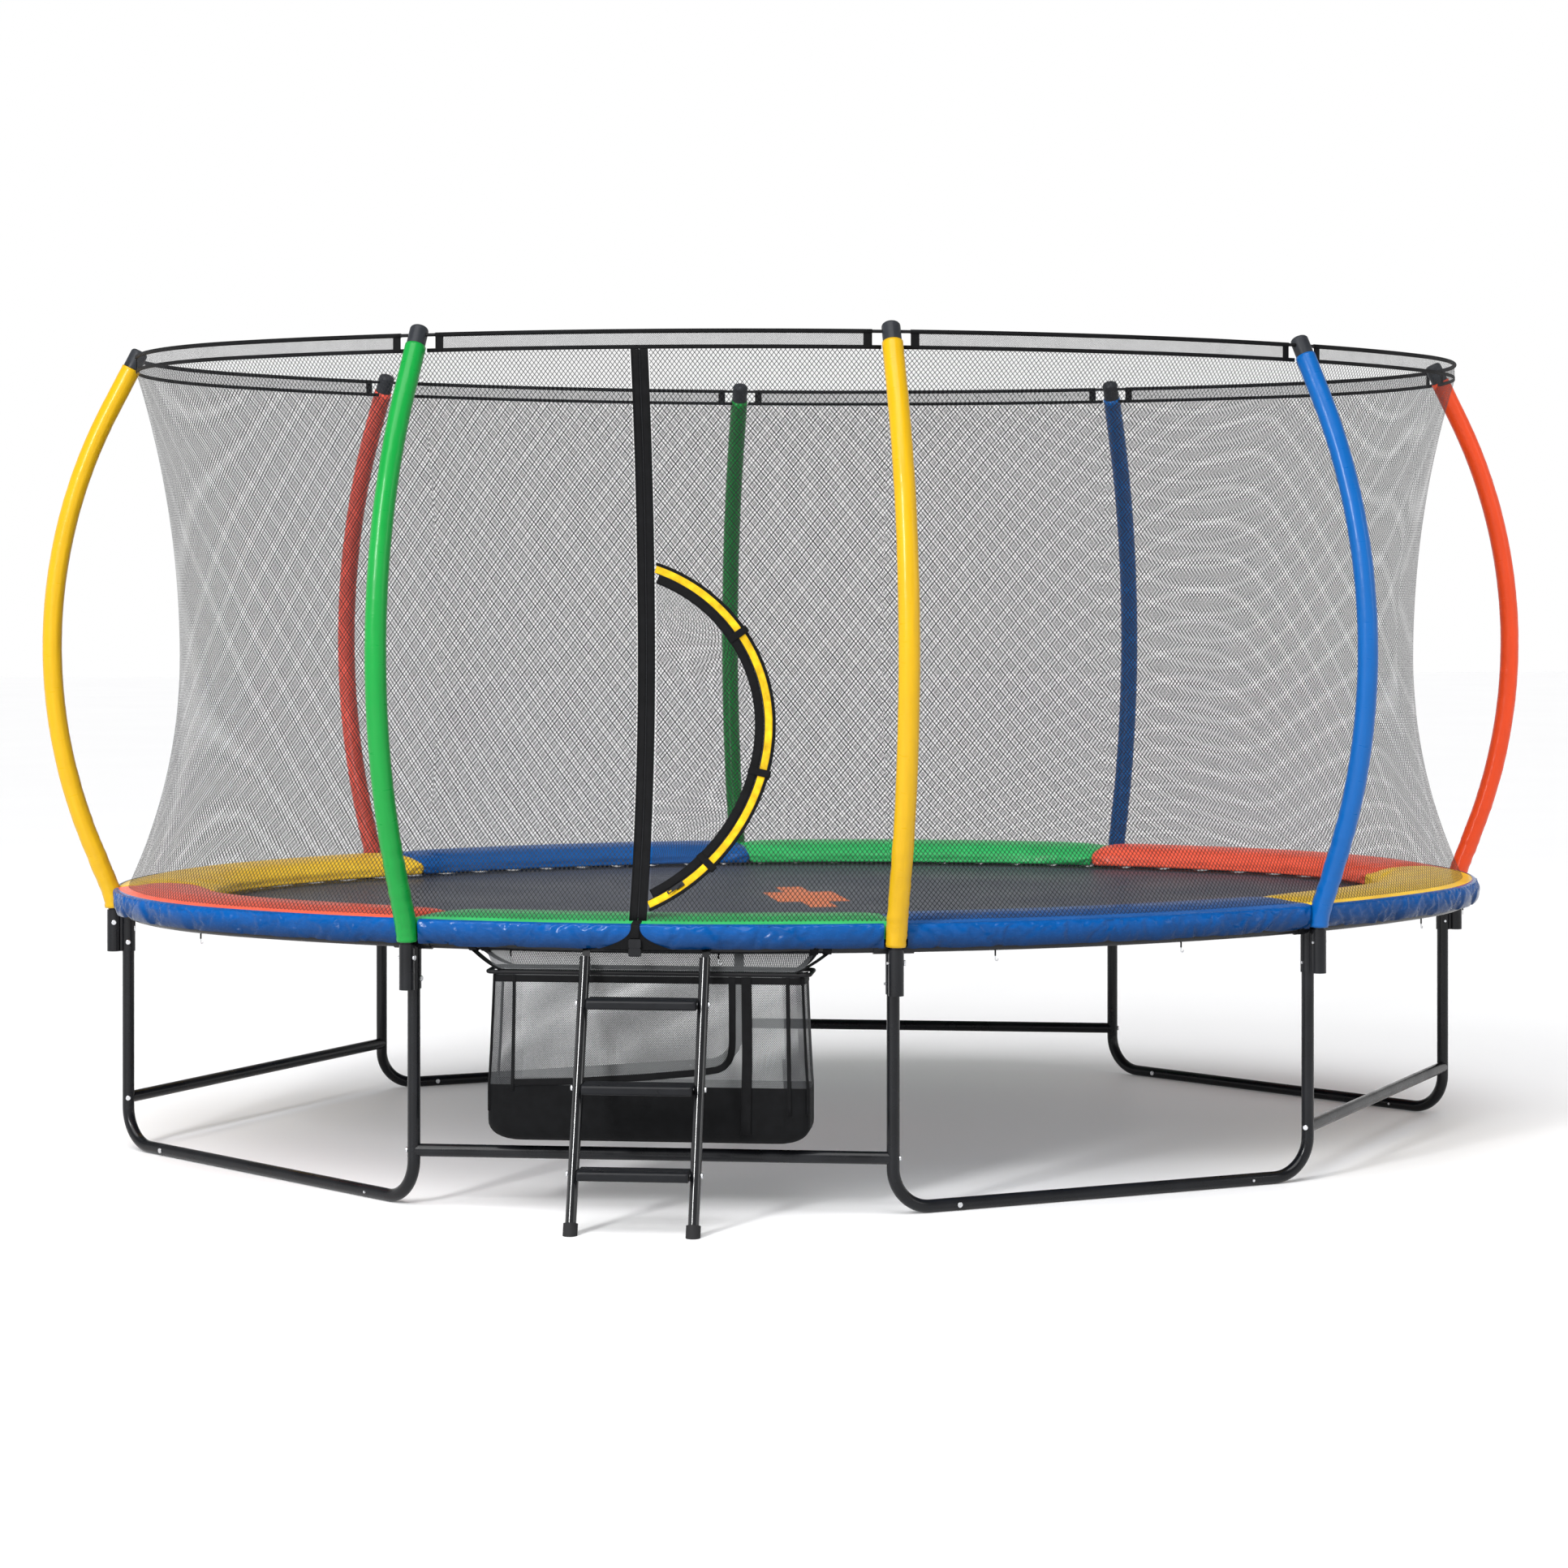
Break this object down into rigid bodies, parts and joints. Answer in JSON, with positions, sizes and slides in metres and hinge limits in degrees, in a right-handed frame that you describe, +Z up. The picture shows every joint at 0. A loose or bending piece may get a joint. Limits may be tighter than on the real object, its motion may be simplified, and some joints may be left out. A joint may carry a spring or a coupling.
{
  "type": "trampoline",
  "caption": "Oval garden trampoline with curved padded poles, waisted safety net with zipped door, coloured spring pads, ladder and mesh shoe bag.",
  "frame": {"origin": "on the ground under the middle of the mat", "axes": "+X along the oval's long way, towards the right of the picture; -Y towards the ladder and door; +Z up"},
  "size_m": [5.0285, 3.6686, 2.6099],
  "materials": {
    "frame_black": "gloss powder coat",
    "zinc": "bright zinc plate",
    "spring_steel": "zinc plated wire",
    "rod_black": "plain",
    "cap_black": "smooth",
    "buckle_black": "fine grain",
    "sleeve_yellow": "soft vinyl",
    "sleeve_green": "soft vinyl",
    "sleeve_blue": "soft vinyl",
    "sleeve_orange": "soft vinyl",
    "sleeve_red": "soft vinyl",
    "pad_red": "crumpled vinyl",
    "pad_green": "crumpled vinyl",
    "pad_blue": "crumpled vinyl",
    "pad_yellow": "crumpled vinyl",
    "skirt_blue": "crumpled vinyl",
    "mat_cloth": "close weave with a sheen",
    "webbing_black": "ribbed webbing",
    "tape_yellow": "ribbed tape",
    "net_black": "open knit",
    "bag_mesh": "open mesh",
    "bag_cloth": "plain weave",
    "rubber_black": "moulded",
    "tread_black": "gloss powder coat"
  },
  "bodies": {
    "frame_body": {"top_rail_1": "frame_black", "top_rail_2": "frame_black", "top_rail_3": "frame_black", "top_rail_4": "frame_black", "top_rail_5": "frame_black", "top_rail_6": "frame_black", "top_rail_7": "frame_black", "top_rail_8": "frame_black", "leg_1": "frame_black", "leg_2": "frame_black", "leg_3": "frame_black", "leg_4": "frame_black", "leg_5": "frame_black", "leg_6": "frame_black", "leg_7": "frame_black", "leg_8": "frame_black", "pole_brackets": "frame_black", "base_tubes": "frame_black", "stretcher_bars": "frame_black", "enclosure_poles": "frame_black", "sleeves_yellow": "sleeve_yellow", "sleeves_green": "sleeve_green", "sleeves_blue": "sleeve_blue", "sleeve_orange": "sleeve_orange", "sleeve_red": "sleeve_red", "pole_caps": "cap_black", "ring_rods": "rod_black", "net_top_band": "net_black", "net_panels": "net_black", "net_door_panel": "net_black", "door_strip": "webbing_black", "door_bow": "tape_yellow", "door_foot_strap": "webbing_black", "buckle_body": "buckle_black", "pads_red": "pad_red", "pads_green": "pad_green", "pads_blue": "pad_blue", "pads_yellow": "pad_yellow", "pad_skirt": "skirt_blue", "bag_body": "bag_mesh", "bag_base": "bag_cloth", "bag_rim": "webbing_black", "bag_straps": "webbing_black", "pad_ties": "webbing_black", "frame_bolts": "zinc"},
    "mat_body": {"mat": "mat_cloth", "mat_edge": "webbing_black", "springs": "spring_steel", "v_rings": "zinc"},
    "door": {"door_flap": "net_black", "door_edge_tape": "webbing_black", "door_loops": "webbing_black"},
    "slider": {"zip_slider": "buckle_black"},
    "pull": {"zip_pull": "buckle_black"},
    "clip": {"buckle_clip": "buckle_black"},
    "ladder": {"ladder_rails": "frame_black", "ladder_treads": "tread_black", "ladder_feet": "rubber_black", "ladder_hooks": "frame_black", "ladder_bolts": "zinc"}
  },
  "joints": [
    {"name": "mat_bounce", "type": "slide", "parent": "frame_body", "child": "mat_body", "axis": [0, 0, 1], "range_m": [-0.4, 0.01], "stiffness_N_per_m": 6000, "springref_m": 0.005, "deforming": ["springs"]},
    {"name": "door_swing", "type": "hinge", "parent": "frame_body", "child": "door", "pos_m": [-0.68322, -1.38228, 1.394], "axis": [-0.0355, -0.1274, -0.9912], "range_deg": [0, 110]},
    {"name": "zip_slide", "type": "slide", "parent": "frame_body", "child": "slider", "axis": [0.8324, 0.0264, 0.5536], "range_m": [0, 0.04]},
    {"name": "zip_pull_lift", "type": "hinge", "parent": "slider", "child": "pull", "pos_m": [-0.61784, -1.45623, 0.95984], "axis": [-0.5117, 0.4202, 0.7494], "range_deg": [0, 80]},
    {"name": "buckle_release", "type": "slide", "parent": "frame_body", "child": "clip", "axis": [0, 0, -1], "range_m": [0, 0.03]},
    {"name": "ladder_swing", "type": "hinge", "parent": "frame_body", "child": "ladder", "pos_m": [-0.70839, -1.46115, 0.785], "axis": [-0.9659, 0.2588, 0], "range_deg": [0, 20]}
  ]
}
